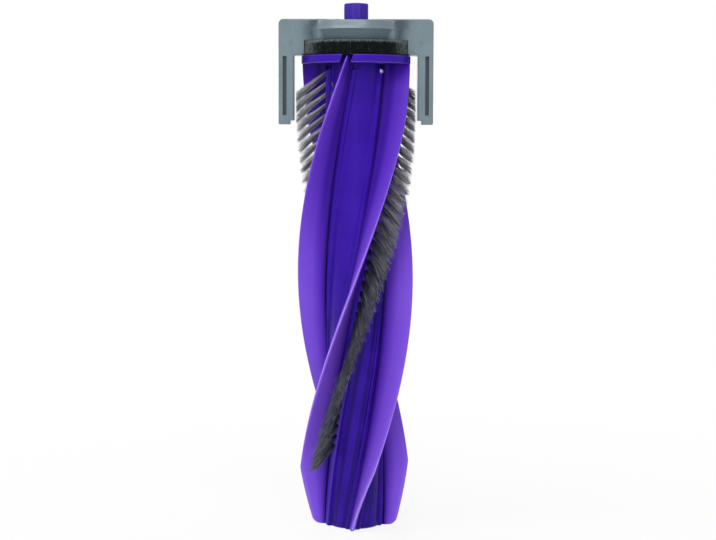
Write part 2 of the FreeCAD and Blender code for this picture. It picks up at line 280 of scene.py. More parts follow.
# %% [markdown]
# ### Purple moulded plastic
# The core is moulded in satin purple, and its pigment clouds slowly. Faint streaks run along the lower
# core and darken it, partly as painted shade, and pale painted highlights lie on edges and corners. One
# flat colour would look like a toy, so a ramp picks the shade: darker where the mark of streaks and
# painted shade is high, pale where the mark of painted highlights is.


# %% Purple plastic
def purple_plastic():
    """Clouds less streaks and painted shade, or painted highlights where higher; grain breaks up gloss."""
    finish, tree, shader, place = new_finish("purple_plastic")
    fine = grain(tree, place, scale=2600.0, detail=2.0)
    clouds = between(tree, grain(tree, place, scale=90.0), low=0.2, high=0.5)
    streaked = number(tree, "SUBTRACT", clouds, mark_of(tree, "streak"))
    amount = number(tree, "MAXIMUM", streaked, mark_of(tree, "worn"))
    stops = [(0.0, (34, 9, 112)), (0.2, (48, 14, 143)), (0.5, (54, 20, 153)), (1.0, (236, 230, 250))]
    fill(tree, shader, {
        "Base Color": shades(tree, amount, *stops),
        "Roughness": between(tree, fine, low=0.26, high=0.38),
        "Normal": bump(tree, fine, strength=0.08, depth=0.04 * MM),
        "Specular IOR Level": 0.12,
    })
    return finish


PURPLE = purple_plastic()
print(PURPLE.name, "has", len(PURPLE.node_tree.nodes), "nodes")

# %% [markdown]
# ### Soft fin rubber
# The fins are a softer, paler purple. Light enters the thin blade, so its outer part looks brighter than
# its root. The fin's own mark paints that light, with painted shade in the crevice at the root, on the
# upper fins and under the flange, painted light near the flat end and a painted highlight along the edge.
# Subsurface light alone could do the glow, but it is noisy and hard to steer, so the painted mark holds
# the shade and a little subsurface light softens it.


# %% Fin rubber
def fin_rubber():
    """Painted-light mark: 0 for painted shade at the root, 0.8 on the blade, 1 for a painted edge
    highlight.
    """
    finish, tree, shader, place = new_finish("fin_rubber")
    fine = grain(tree, place, scale=1800.0)
    stops = [(0.0, (26, 9, 86)), (0.3, (66, 30, 158)), (0.45, (88, 48, 180))]
    stops += [(0.7, (116, 74, 207)), (0.8, (126, 84, 213)), (1.0, (196, 172, 248))]
    fill(tree, shader, {
        "Base Color": shades(tree, mark_of(tree, "tone"), *stops),
        "Roughness": between(tree, fine, low=0.34, high=0.46),
        "Normal": bump(tree, fine, strength=0.1, depth=0.05 * MM),
        "Specular IOR Level": 0.08,
        "Subsurface Weight": 0.15,
        "Subsurface Radius": (0.8, 0.5, 1.2),
        "Subsurface Scale": 2.0 * MM,
    })
    return finish


RUBBER = fin_rubber()
print(RUBBER.name, "has", len(RUBBER.node_tree.nodes), "nodes")

# %% [markdown]
# ### Bristle nylon
# The bristles are dark nylon strands. They are thinner than a pixel, so what the eye sees is the mix of
# dark and pale strands. One grey for all would look like felt, so each strand gets a shade of its own,
# kept in the mark `strand`: shade that differs at random, with painted light and painted shade on top.


# %% Nylon
def bristle_nylon():
    """Shade at the mark `strand`, from dark at 0 to white at 1; the strands let light through."""
    finish, tree, shader, place = new_finish("bristle_nylon")
    fine = grain(tree, place, scale=3000.0, detail=2.0)
    stops = [(0.0, (16, 17, 27)), (0.3, (66, 67, 80)), (0.7, (150, 149, 157)), (1.0, (226, 225, 232))]
    fill(tree, shader, {
        "Base Color": shades(tree, mark_of(tree, "strand"), *stops),
        "Roughness": between(tree, fine, low=0.3, high=0.5),
        "Specular IOR Level": 0.3,
        "Subsurface Weight": 0.6,
        "Subsurface Radius": (1.0, 1.0, 1.0),
        "Subsurface Scale": 0.5 * MM,
    })
    return finish


NYLON = bristle_nylon()
print(NYLON.name, "has", len(NYLON.node_tree.nodes), "nodes")

# %% [markdown]
# ### Dark felt
# The dust seal is pressed felt, dark with a green cast. Its matted fibres are a noise with many octaves,
# which sets colour, roughness and bump together. One mark says how pale it is: pale dust on its lumps and
# fibres, a painted highlight along its top and a painted sheen at the two sides. Hair all over the felt
# would be heavy, so only its rim gets real fibres, further below.


# %% Felt
def dark_felt():
    """Matted noise times the mark of dust and painted sheen; a faint sheen stands for fibre ends."""
    finish, tree, shader, place = new_finish("dark_felt")
    matted = grain(tree, place, scale=1500.0, detail=6.0)
    speckled = number(tree, "MULTIPLY", matted, mark_of(tree, "dust"))
    stops = [(0.08, (9, 12, 12)), (0.22, (28, 34, 33)), (0.6, (98, 109, 108))]
    fill(tree, shader, {
        "Base Color": shades(tree, speckled, *stops),
        "Roughness": between(tree, matted, low=0.85, high=1.0),
        "Normal": bump(tree, matted, strength=0.6, depth=0.3 * MM),
        "Specular IOR Level": 0.1,
        "Sheen Weight": 0.08,
        "Sheen Roughness": 0.4,
    })
    return finish


FELT = dark_felt()
print(FELT.name, "has", len(FELT.node_tree.nodes), "nodes")

# %% [markdown]
# ### Grey moulded plastic
# The bracket is blue-grey plastic. Four ejector pins left faint round marks on its front and back, and
# painted shade darkens its faces beside the boss and the floors of the grooves. The round marks and the
# painted shade by the boss are distances in Object coordinates: from a pin, with the absolute place so
# that one pin serves all four, and from the axis. Painting them by hand would need an image.

# %% Grey plastic
PIN_MARK = (23.9 * MM, 6.0 * MM, 180.4 * MM)
PIN_RADIUS = 1.6 * MM
DUST_START, DUST_END = 17.2 * MM, 23.5 * MM


def grey_plastic():
    """Shade at clouds times the pins' marks, less painted shade by the boss on `front` and in the grooves.
    """
    finish, tree, shader, place = new_finish("grey_plastic")
    fine = grain(tree, place, scale=3200.0)
    off_pin = vector(tree, "DISTANCE", vector(tree, "ABSOLUTE", place)["Vector"], PIN_MARK)["Value"]
    clouds = between(tree, grain(tree, place, scale=120.0), low=0.5, high=1.0)
    clean = between(tree, off_pin, low=0.45, high=1.0, start=0.2 * PIN_RADIUS, end=PIN_RADIUS)
    off_axis = vector(tree, "LENGTH", vector(tree, "MULTIPLY", place, (1, 1, 0))["Vector"])["Value"]
    dusty = between(tree, off_axis, low=0.6, high=0.0, start=DUST_START, end=DUST_END)
    dirt = number(tree, "MULTIPLY_ADD", dusty, mark_of(tree, "front"), mark_of(tree, "soiled"))
    amount = number(tree, "SUBTRACT", number(tree, "MULTIPLY", clouds, clean), dirt)
    stops = [(0.0, (52, 67, 74)), (0.25, (80, 96, 103)), (0.5, (95, 112, 119)), (1.0, (105, 121, 128))]
    fill(tree, shader, {
        "Base Color": shades(tree, amount, *stops),
        "Roughness": between(tree, fine, low=0.25, high=0.33),
        "Normal": bump(tree, fine, strength=0.15, depth=0.06 * MM),
        "Specular IOR Level": 0.5,
    })
    return finish


GREY = grey_plastic()
print(GREY.name, "has", len(GREY.node_tree.nodes), "nodes")

# %% [markdown]
# ### Inner pieces
# The bushes are porous bronze that holds oil, the thrust washer is slippery off-white plastic and the end
# plug is purple like the core. Their CAD solids have the right shape already, so they only get a finish.


# %% Finishes of the inner CAD pieces
def sintered_bronze():
    """Porous bronze: fine dark pores in a warm metal."""
    finish, tree, shader, place = new_finish("sintered_bronze")
    pores = grain(tree, place, scale=2400.0, detail=4.0)
    fill(tree, shader, {
        "Base Color": shades(tree, pores, (0.35, (120, 88, 56)), (0.6, (176, 132, 84))),
        "Roughness": between(tree, pores, low=0.3, high=0.5),
        "Metallic": 1.0,
    })
    return finish


def washer_plastic():
    """Off-white slippery plastic, slightly clouded."""
    finish, tree, shader, place = new_finish("washer_plastic")
    clouds = grain(tree, place, scale=900.0, detail=2.0)
    fill(tree, shader, {
        "Base Color": shades(tree, clouds, (0.3, (206, 206, 200)), (0.7, (220, 220, 214))),
        "Roughness": between(tree, clouds, low=0.35, high=0.5),
    })
    return finish


BRONZE = sintered_bronze()
OFF_WHITE = washer_plastic()
inner_finishes = {
    "end_plug": PURPLE,
    "end_bush": BRONZE,
    "bearing_bush": BRONZE,
    "thrust_washer": OFF_WHITE,
}
for name, finish in inner_finishes.items():
    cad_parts[name].data.materials.clear()
    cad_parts[name].data.materials.append(finish)
print("inner pieces finished:", list(inner_finishes))

# %% [markdown]
# ## Core
# The core is one moulding with the same section all along, twisted by the helix. Its section is drawn
# unrolled, as distance around the core and height above it: two lips beside each fin, with a slot between
# them, and a wider land for each row of tufts. Rolling it up and turning it with height gives the surface.
# A Screw modifier could twist it too, but could not round off the lips' ends below the flange.

# %% Section of the core, unrolled
LIP_HEIGHT, LAND_HEIGHT = 1.2, 1.6
LIPS = [(-2.8, 0), (-2.45, LIP_HEIGHT), (-0.9, LIP_HEIGHT), (-1.3, 0), (1.3, 0), (0.9, LIP_HEIGHT)]
LIPS_REACH = [0.5, 0.5, 0.2, 0.1, 0.1, 0.2]
PLAIN_SIDE = [(2.45, LIP_HEIGHT), (2.8, 0)]
PLAIN_REACH = [0.5, 0.5]
LAND_SIDE = [(1.7, LIP_HEIGHT), (1.8, LAND_HEIGHT), (4.25, LAND_HEIGHT), (4.5, 0)]
LAND_REACH = [0.1, 0.25, 0.4, 0.3]
CORE_SPACING = 0.9
core_turn = 2 * math.pi * CORE_RADIUS
core_corners, core_reach = [], []
for fin in range(4):
    side, side_reach = (LAND_SIDE, LAND_REACH) if fin % 2 else (PLAIN_SIDE, PLAIN_REACH)
    core_corners += [(x + fin * core_turn / 4, h) for x, h in LIPS + side]
    core_reach += LIPS_REACH + side_reach
section = divided(eased(core_corners, core_reach, turn=core_turn), CORE_SPACING, turn=core_turn)
section_angle = FIRST_FIN + np.degrees(section[:, 0] / CORE_RADIUS)
print("core section:", len(section), "points")

# %% Twisted core with a bevelled foot, lips with rounded ends, and its bore
LIP_END, LIP_NOSE = 171.0, 1.0
FOOT_BEVEL, BORE_BEVEL = 0.5, 0.3
BORE_RADIUS, BORE_TOP = 5.5, 165.7
nose = LIP_END - LIP_NOSE * np.array([1, 0.8, 0.55, 0.35, 0.2, 0.1, 0.03, 0])
rise = np.concatenate([[0, 0.15, FOOT_BEVEL], np.linspace(2, 168.5, 86), nose, [171.6, 173.2]])
nose_share = np.clip((rise - nose[0]) / LIP_NOSE, 0, 1)
height = section[:, 1] * np.sqrt(1 - nose_share ** 2)[:, None]
bevel = np.clip(FOOT_BEVEL - rise, 0, FOOT_BEVEL)[:, None]
core_angle = section_angle + rise[:, None] * TURN_PER_MM
outside = around_axis(CORE_RADIUS + height - bevel, core_angle, rise[:, None])
bore_radius = np.array([[BORE_RADIUS], [BORE_RADIUS], [BORE_RADIUS + BORE_BEVEL]])
inside = around_axis(bore_radius, section_angle, np.array([[BORE_TOP], [BORE_BEVEL], [0]]))
core_rings = np.concatenate([inside, outside])
print("core grid:", core_rings.shape[0], "rings of", core_rings.shape[1], "points")

# %% [markdown]
# The lips' ends get painted highlights, brightest beside one fin, and so do their corners along their
# length. The lower core is streaked along the helix: each line of points gets its own seeded shade, and
# the streaks darken the lower core, partly as painted shade. Below the flange the core is darker with a
# painted shadow. All this could be painted on by hand, but soft steps of height and distance are quicker
# to change.

# %% Painted highlights, streaks and painted shade of the core
LIP_WEAR = np.array([0.3, 0.2, 0.25, 1.0])
CORNER_WEAR = 0.515
STREAK, FLANGE_DIRT = 0.5, 0.35
lip_ends = soft_step(rise, 168.8, 170.3)[:, None] * soft_step(height, 0.2, 0.7)
nearest_fin = np.clip(np.round(section[:, 0] / core_turn * 4), 0, 3).astype(int)
from_fin = np.abs((section[:, 0] + core_turn / 8) % (core_turn / 4) - core_turn / 8)
lip_corners = soft_step(height, 1.0, 1.15) * soft_step(from_fin, 2.0, 2.3)
worn = np.zeros(core_rings.shape[:2])
worn[len(inside):] = np.maximum(lip_ends * LIP_WEAR[nearest_fin], CORNER_WEAR * lip_corners)
chance = np.random.default_rng(21)
streak = np.zeros(core_rings.shape[:2])
streak[len(inside):] = soft_step(rise, 115, 55)[:, None] * chance.uniform(0, STREAK, len(section))
streak[len(inside):] += FLANGE_DIRT * soft_step(rise, 164, 172)[:, None]
CORE_PLACE = ("roller", "core", ["roller_core"])
new_piece("core_tube", core_rings, lofted(core_rings), PURPLE, *CORE_PLACE, worn=worn, streak=streak)

# %% [markdown]
# ## Flange and spindle
# A thin round flange closes the bristle field below the bracket, and each fin passes through a gap in it.
# A disc with four Boolean cuts would do, but an outline with the gaps drawn in has its edges eased too.
# The spindle is turned, and ends in a square nub with flattened corners that the gearbox grips. A polygon
# with eased corners has a short polar formula, so one grid runs from the round part to the nub.

# %% Outline of the flange with four gaps
GAP_HALF, GAP_FLOOR_HALF, GAP_DEPTH = 1.85, 4.18, 11.2
flange_turn = 2 * math.pi * FLANGE_RADIUS
gap = [(-GAP_HALF, 0), (-GAP_FLOOR_HALF, -GAP_DEPTH), (GAP_FLOOR_HALF, -GAP_DEPTH), (GAP_HALF, 0)]
gaps = np.concatenate([np.array(gap) + [quarter * flange_turn / 4, 0] for quarter in range(4)])
gaps_reach = np.tile([0.5, 0.3, 0.3, 0.5], 4)
flat = eased(gaps, gaps_reach, steps=4, turn=flange_turn)
flat = divided(flat, spacing=1.5, turn=flange_turn)
plan = around_axis(FLANGE_RADIUS + flat[:, 1], FIRST_FIN + np.degrees(flat[:, 0] / FLANGE_RADIUS), 0)
print("flange outline:", len(plan), "points")

# %% Flange with eased rims, turned along the helix
FLANGE_FOOT, FLANGE_HEIGHT = 172.7, 3.0
# The flange's rims get thin painted highlights.
FLANGE_WEAR = np.array([0, 0.53, 0.55, 0.5, 0.5, 0.53, 0, 0])
rim = np.array([0, 0.06, 0.18, 0.4])
chord = np.roll(plan, -1, 0) - np.roll(plan, 1, 0)
inwards = np.cross([0, 0, 1], chord / np.linalg.norm(chord, axis=1, keepdims=True))
rise = FLANGE_FOOT + np.concatenate([rim, FLANGE_HEIGHT - rim[::-1]])
shrink = np.concatenate([rim[::-1], rim])
x, y, z = np.moveaxis(plan + inwards * shrink[:, None, None], -1, 0)
angle = np.radians(rise * TURN_PER_MM)[:, None]
turned = [x * np.cos(angle) - y * np.sin(angle), x * np.sin(angle) + y * np.cos(angle), z + rise[:, None]]
flange = np.stack(turned, -1)
worn = np.broadcast_to(FLANGE_WEAR[:, None], flange.shape[:2])
new_piece("flange", flange, lofted(flange), PURPLE, *CORE_PLACE, worn=worn)

# %% Spindle with its drive nub
NUB_FLAT, NUB_CORNER, NUB_ROUND = 4.15, 4.5, 0.7
NUB_FOOT, NUB_TIP = BOSS_TOP + 0.1, 195.05
# The nub gets a base tone a touch paler than the core, and painted highlights on its corners.
NUB_WEAR, NUB_EDGE_WEAR = 0.51, 0.03
SPINDLE = np.array([(8, 174), (8, 178.9), (7.8, 179.1), (5, 179.1), (5, 188.15), (4.8, 188.35)])
way = np.arange(0, 360, 2.5)


def nub_radius(softness=26.0):
    """Eased octagon: r = (sum of (cos(a - side) / distance)^p) ^ (-1/p) over its sides, a soft minimum."""
    sides = np.arange(0, 360, 45)[:, None]
    distance = np.where(sides % 90 == 45, NUB_FLAT, NUB_CORNER)
    facing = np.clip(np.cos(np.radians(way - sides)), 0, None) / distance
    return (facing ** softness).sum(0) ** (-1 / softness)


tip = np.radians([0, 22, 45, 68, 90])
nub_rise = np.concatenate([[NUB_FOOT], NUB_TIP - NUB_ROUND + NUB_ROUND * np.sin(tip)])
nub_inset = np.concatenate([[0], NUB_ROUND * (1 - np.cos(tip))])
round_part = np.repeat(SPINDLE[:, :1], len(way), 1)
spindle_radius = np.concatenate([round_part, nub_radius() - nub_inset[:, None]])
spindle = around_axis(spindle_radius, way, np.concatenate([SPINDLE[:, 1], nub_rise])[:, None])
worn = np.zeros(spindle_radius.shape)
worn[len(SPINDLE):] = NUB_WEAR + NUB_EDGE_WEAR * soft_step(nub_radius(), 4.55, 4.65)
new_piece("spindle", spindle, lofted(spindle), PURPLE, *CORE_PLACE, worn=worn)

# %% [markdown]
# ## Fins
# Each fin is a soft blade whose foot is held under the lips. Its section, from one side of the foot round
# the blade's edge to the other, is carried up the helix. The blade thins outwards, its edge is rounded,
# and near the flat end it tapers to a rounded corner so that hair slides off. A curve with a bevel could
# sweep it too, but would shrink the foot along with the blade.

# %% Section of a fin: share of the reach, half thickness, and the rounding past it
SEAT, SEAT_HALF, EDGE = 11.1, 1.3, 0.65
FOOT_RADIUS, FOOT_HALF = [9.75, 10.95], [1.15, 0.75]
side = np.linspace(0, 1, 12)
bend = np.radians(np.linspace(0, 90, 7))[1:]
blade_share = np.concatenate([side, np.ones(len(bend))])
blade_half = np.concatenate([SEAT_HALF + (EDGE - SEAT_HALF) * side ** 0.8, EDGE * np.cos(bend)])
blade_past = np.concatenate([np.zeros(len(side)), EDGE * np.sin(bend)])
print("half of a fin's section:", len(FOOT_RADIUS) + len(blade_share), "points")

# %% Reach of a fin at each level
FIN_TOP, FIN_TOP_TAPER = 175.1, 26.0
FIN_END_RADIUS, FIN_TAPER, FIN_CORNER = 15.4, 23.0, 2.5


def fin_reach(rise):
    """Radius of the edge: the lowest of two straight tapers and the full radius, less a rounded corner."""
    taper = FIN_END_RADIUS + (FIN_RADIUS - FIN_END_RADIUS) * rise / FIN_TAPER
    narrowing = FLANGE_RADIUS + (FIN_RADIUS - FLANGE_RADIUS) * (FIN_TOP - rise) / FIN_TOP_TAPER
    short = np.clip(FIN_CORNER - rise, 0, FIN_CORNER)
    corner = FIN_CORNER - np.sqrt(FIN_CORNER ** 2 - short ** 2)
    return np.minimum(np.minimum(taper, narrowing), FIN_RADIUS) - corner


corner_rise = FIN_CORNER * (1 - np.cos(np.radians(np.linspace(0, 90, 9))))
taper_rise = np.linspace(3.5, FIN_TAPER, 14)
fin_rise = np.concatenate([corner_rise, taper_rise, np.linspace(FIN_TAPER + 1.5, FIN_TOP, 104)])
print("fin grid:", len(fin_rise), "levels")

# %% Surface and painted shade of a fin
END_ROUND, END_THIN = 0.45, 0.5
# The dark start of the curve is painted shade in the root's crevice, the rise painted light in the blade.
TONE_SHARES, TONES = [0, 0.03, 0.1, 0.22, 0.5, 0.9], [0, 0.05, 0.34, 0.45, 0.68, 0.78]
FOOT_PALER, TOP_DARKER, FLANGE_DARKER = 0.05, 0.27, 0.2
# Past this share the edge gets a painted highlight.
EDGE_SHARE = 0.9995


def fin_surface(first):
    """(radius, half thickness) of the section at each level, turned to the fin and up the helix."""
    reach = fin_reach(fin_rise)[:, None]
    blade = SEAT + blade_share * (reach - EDGE - SEAT) + blade_past
    foot = np.broadcast_to(FOOT_RADIUS, (len(fin_rise), 2))
    radius = np.concatenate([foot, blade], 1)
    ends = np.clip(np.minimum(fin_rise, FIN_TOP - fin_rise) / END_ROUND, 0, 1)
    round_off = END_THIN + (1 - END_THIN) * np.sqrt(1 - (1 - ends) ** 2)
    half = np.concatenate([FOOT_HALF, blade_half]) * round_off[:, None]
    radius = np.concatenate([radius, radius[:, -2::-1]], 1)
    half = np.concatenate([half, -half[:, -2::-1]], 1)
    turn = first + fin_rise[:, None] * TURN_PER_MM
    points = around_axis(radius, turn, fin_rise[:, None]) + around_axis(half, turn + 90, 0)
    return points, (radius - SEAT) / (reach - SEAT)


def fin_tone(share):
    """Painted shade and light from root to edge: lighter by the flat end, darker by the bracket; edge 1.
    """
    fade = FOOT_PALER * soft_step(fin_rise, 45, 10) - TOP_DARKER * soft_step(fin_rise, 85, 140)
    fade = fade - FLANGE_DARKER * soft_step(fin_rise, 164, 172)
    tone = np.interp(share, TONE_SHARES, TONES) + fade[:, None] * soft_step(share, 0, 0.3)
    return np.where(share > EDGE_SHARE, 1.0, tone)


print("tones of a blade:", dict(zip(TONE_SHARES, TONES)))

# %% Four fins
for count, first in enumerate(FIN_ANGLES, 1):
    points, share = fin_surface(first)
    fin_place = ("roller", "fin", [f"fin_{count}"])
    tone = fin_tone(share)
    new_piece(f"fin_blade_{count}", points, lofted(points), RUBBER, *fin_place, sharp=50.0, tone=tone)

# %% [markdown]
# ## Bristle tufts
# Two fins have a row of nylon tufts ahead of them. A tuft is a bunch of some two hundred strands in a
# hole, leaning towards the flat end and spreading to its trimmed tip. A particle system could grow them,
# but a few numpy arrays give every strand at once, and the same ones each time because the chance is
# seeded.

# %% Where the tufts stand
LAND_TOP, TUFT_TIP = 11.2, 22.25
LEAN = math.radians(33.0)
AHEAD_OF_FIN = 18.0
FIRST_TUFT, TUFT_PITCH, TUFTS = 169.4, 3.84, 37
TUFT_ROOTS = FIRST_TUFT - TUFT_PITCH * np.arange(TUFTS)
STRANDS = 230
ALONG = np.array([0, 0.35, 0.7, 1.0])
print("tufts in a row:", TUFTS, "from", round(TUFT_ROOTS[-1], 2), "to", FIRST_TUFT, "mm")

# %% Paths of the strands
HOLE_BASE, HOLE_HALF = 10.3, 0.8
SPLAY, TRIM, TRIM_ROUND = 1.1, 2.6, 22.5
FAN_DOWN, FAN_SPAN, SAG = 1.0, 3.4, 2.0
STRAY, WILD_SHARE, WILD_TIMES = 0.4, 0.07, 2.5


def strand_paths(chance):
    """Radius r = r0 + s (r1 - r0), sinking by (r - land) tan(lean) + sag s, and splayed more with s."""
    shape = (len(TUFT_ROOTS), STRANDS, 1)
    spin = chance.uniform(0, 2 * math.pi, shape)
    spread = np.sqrt(chance.random(shape))
    reach = TUFT_TIP - TRIM * chance.random(shape) ** 2
    lift = chance.random(shape) ** 2
    wild = np.where(chance.random(shape) < WILD_SHARE, WILD_TIMES, 1.0)
    stray = chance.normal(0, STRAY, (2, *shape)) * wild * ALONG ** 2
    sideways = spread * np.cos(spin)
    aside = sideways * (HOLE_HALF + SPLAY * ALONG ** 0.9) + stray[0]
    fan = (FAN_SPAN * lift - FAN_DOWN) * ALONG
    above = spread * np.sin(spin) * HOLE_HALF * (1 - ALONG) + fan + stray[1]
    sag = SAG * soft_step(TUFT_ROOTS, 40, 100)[:, None, None] * ALONG
    radius = HOLE_BASE + (reach - HOLE_BASE) * ALONG - aside ** 2 / (2 * TRIM_ROUND)
    rise = TUFT_ROOTS[:, None, None] - math.tan(LEAN) * (radius - LAND_TOP) - sag + above
    return (radius, aside, rise), sideways, lift


print("strands in a row:", len(TUFT_ROOTS) * STRANDS)

# %% Strands as thin tapered tubes
ROOT_WIDTH, TIP_WIDTH = 0.085, 0.035
TRIANGLE = np.radians([90, 210, 330])


def strand_tubes(first, radius, aside, rise):
    """Three corners round each point of a path: the width times cos c across it and sin c above it."""
    width = (ROOT_WIDTH + (TIP_WIDTH - ROOT_WIDTH) * ALONG)[:, None]
    across = np.cos(TRIANGLE) * width
    up = np.sin(TRIANGLE) * width
    turn = (first + AHEAD_OF_FIN + TUFT_ROOTS * TURN_PER_MM)[:, None, None, None]
    outwards = radius[..., None] + up * math.sin(LEAN)
    upwards = rise[..., None] + up * math.cos(LEAN)
    points = around_axis(outwards, turn, upwards) + around_axis(aside[..., None] + across, turn + 90, 0)
    return points.reshape(-1, len(ALONG) * len(TRIANGLE), 3)


def many_tubes(count, rings):
    """Faces of many three-sided tubes: one tube's quads and lids, repeated with numbers moved on."""
    sides = len(TRIANGLE)
    step = np.arange(count)[:, None, None] * rings * sides
    lid = np.arange(sides)
    lids = np.stack([lid[::-1], lid + (rings - 1) * sides])
    return [(grid_quads(rings, sides) + step).reshape(-1, 4), (lids + step).reshape(-1, sides)]


print("faces of one strand:", sum(len(f) for f in many_tubes(1, len(ALONG))))

# %% Shades of the strands
# Painted light and shade: a tuft's upper strands, its tips and the tufts near the bracket are paler, and
# the low tufts are kept dark.
LOW_SHADE, LIFT_SHADE, TIP_SHADE = 0.15, 0.55, 0.2
CLUMPS_ASIDE, CLUMPS_ABOVE, CLUMP_SHADE = 11, 15, 0.13
CLEAN_SHARE, PALE_STRANDS, PALER_STRANDS = 0.2, 0.25, 0.45


def strand_shades(chance, sideways, lift, dusty):
    """Painted light on lifted strands, tips and tufts near the bracket; waves make clumps of like shade.
    """
    paler = soft_step(TUFT_ROOTS, 75, 160)[:, None, None]
    phase = chance.uniform(0, 2 * math.pi, (2, len(TUFT_ROOTS), 1, 1))
    clump = np.sin(CLUMPS_ASIDE * sideways + phase[0]) + np.sin(CLUMPS_ABOVE * np.sqrt(lift) + phase[1])
    shade = LOW_SHADE + LIFT_SHADE * lift + TIP_SHADE * ALONG ** 3
    shade = shade * (CLEAN_SHARE + dusty * paler) + CLUMP_SHADE * clump
    shade = shade + (PALE_STRANDS + PALER_STRANDS * paler) * chance.random(lift.shape) ** 4
    return np.repeat(shade.reshape(-1, len(ALONG)), len(TRIANGLE), 1)


print("waves of shade through a tuft:", CLUMPS_ASIDE, "aside and", CLUMPS_ABOVE, "above")

# %% Two rows of tufts: the fin that each stands ahead of, and its share of painted light
for count, (fin, dusty) in enumerate(((1, 1.2), (3, 0.4)), 1):
    chance = np.random.default_rng(40 + count)
    paths, sideways, lift = strand_paths(chance)
    points = strand_tubes(FIN_ANGLES[fin], *paths)
    shade = strand_shades(chance, sideways, lift, dusty)
    faces = many_tubes(len(points), len(ALONG))
    row_place = ("roller", "bristle", [f"tuft_row_{count}"])
    new_piece(f"bristle_row_{count}", points, faces, NYLON, *row_place, sharp=180.0, strand=shade)

# %% [markdown]
# ## Felt seal
# A ring of dark felt keeps dust out of the bearing. Its section is a rectangle with soft edges, carried
# round the axis. Felt is never quite even, so a sum of waves lifts and sinks the skin by a tenth of a
# millimetre, and short stray fibres stand out of its rim. A Displace modifier could do that too, but
# waves in the formula keep the ring inside its box.

# %% Felt ring
FELT_INNER, FELT_OUTER = 8.85, 19.75
FELT_FOOT, FELT_TOP = 175.98, 181.0
FELT_EASE, FELT_SPACING = 0.7, 0.4
WAVES, WAVE_HEIGHT, SKIN_INSET = 14, 0.018, 0.05
felt_corners = [(FELT_INNER, FELT_FOOT), (FELT_OUTER, FELT_FOOT)]
felt_corners += [(FELT_OUTER, FELT_TOP), (FELT_INNER, FELT_TOP)]
felt_section = divided(eased(felt_corners, FELT_EASE), FELT_SPACING)
felt_radius, felt_rise = felt_section[:, :1], felt_section[:, 1:]
way = np.arange(0, 360, 1.2)
chance = np.random.default_rng(7)
waves = chance.integers(25, 150, WAVES)[:, None, None]
wrinkles = chance.uniform(-3, 3, WAVES)[:, None, None]
phases = chance.uniform(0, 6.28, WAVES)[:, None, None]
lumps = WAVE_HEIGHT * np.sin(np.radians(way) * waves + felt_rise * wrinkles + phases).sum(0)
outer = soft_step(felt_radius, 17, 19)
ring = around_axis(felt_radius + (lumps - SKIN_INSET) * outer, way, felt_rise)
print("felt grid:", ring.shape[0], "rings of", ring.shape[1], "points")

# %% Dust on the felt's lumps, a painted highlight along its top and painted sheen at its two sides
BASE_DUST, LUMP_DUST, TOP_DUST, SIDE_DUST = 0.16, 3.0, 0.8, 0.85
dust = BASE_DUST + LUMP_DUST * lumps * outer + TOP_DUST * soft_step(felt_rise, 179.6, 180.8)
dust = dust + SIDE_DUST * soft_step(np.abs(np.cos(np.radians(way))), 0.6, 0.95)
FELT_PLACE = ("bracket", "felt", ["felt_ring"])
new_piece("felt_ring_seal", ring, [grid_quads(*ring.shape[:2], True)], FELT, *FELT_PLACE, dust=dust)

# %% Stray fibres on the felt's rim: arcs that start in the skin, stand off by `lift` and end near it
FIBRES, FIBRE_WIDTH, FIBRE_DUST = 4200, 0.024, 0.6
FIBRE_ROOT, FIBRE_ARC = 19.62, 19.7
FIBRE_BEND, FIBRE_TAPER = 0.6, 0.6
FIBRE_LEVELS, FIBRE_LIMITS = (176.15, 180.85), (176.05, 180.95)
FIBRE_LENGTHS, FIBRE_LIFTS, FIBRE_SLOPE = (0.05, 0.3), (0.03, 0.3), 0.7
s = np.array([0, 0.5, 1])
start = chance.uniform(0, 360, (FIBRES, 1))
level = chance.uniform(*FIBRE_LEVELS, (FIBRES, 1))
length = chance.uniform(*FIBRE_LENGTHS, (FIBRES, 1))
lift = chance.uniform(*FIBRE_LIFTS, (FIBRES, 1))
slope = chance.normal(0, FIBRE_SLOPE, (FIBRES, 1))
path_radius = FIBRE_ROOT + 4 * lift * s * (1 - FIBRE_BEND * s)
path_angle = start + np.degrees(length / FIBRE_ARC) * s * np.sign(chance.normal(size=(FIBRES, 1)))
path_rise = np.clip(level + slope * s, *FIBRE_LIMITS)
width = FIBRE_WIDTH * (1 - FIBRE_TAPER * s)[:, None]
fibre_radius = path_radius[..., None] + np.cos(TRIANGLE) * width
fibres = around_axis(fibre_radius, path_angle[..., None], path_rise[..., None] + np.sin(TRIANGLE) * width)
shade = np.broadcast_to(FIBRE_DUST * chance.random((FIBRES, 1)) ** 3, (FIBRES, len(s) * len(TRIANGLE)))
new_piece("felt_fibres", fibres, many_tubes(FIBRES, len(s)), FELT, *FELT_PLACE, sharp=180.0, dust=shade)

# %% [markdown]
# ## End bracket
# The grey bracket is a bridge over the felt with two arms that clip into the robot, and a turned boss in
# its middle for the bearing. An arm and its half of the bridge are one bent bar: lines run across the bar
# from its inner to its outer side, and a closed section is stretched over each line. The narrow groove in
# each arm is part of that section, pressed in only along the groove's length. Boolean cuts could make it
# too, but they leave uneven faces that shade badly.

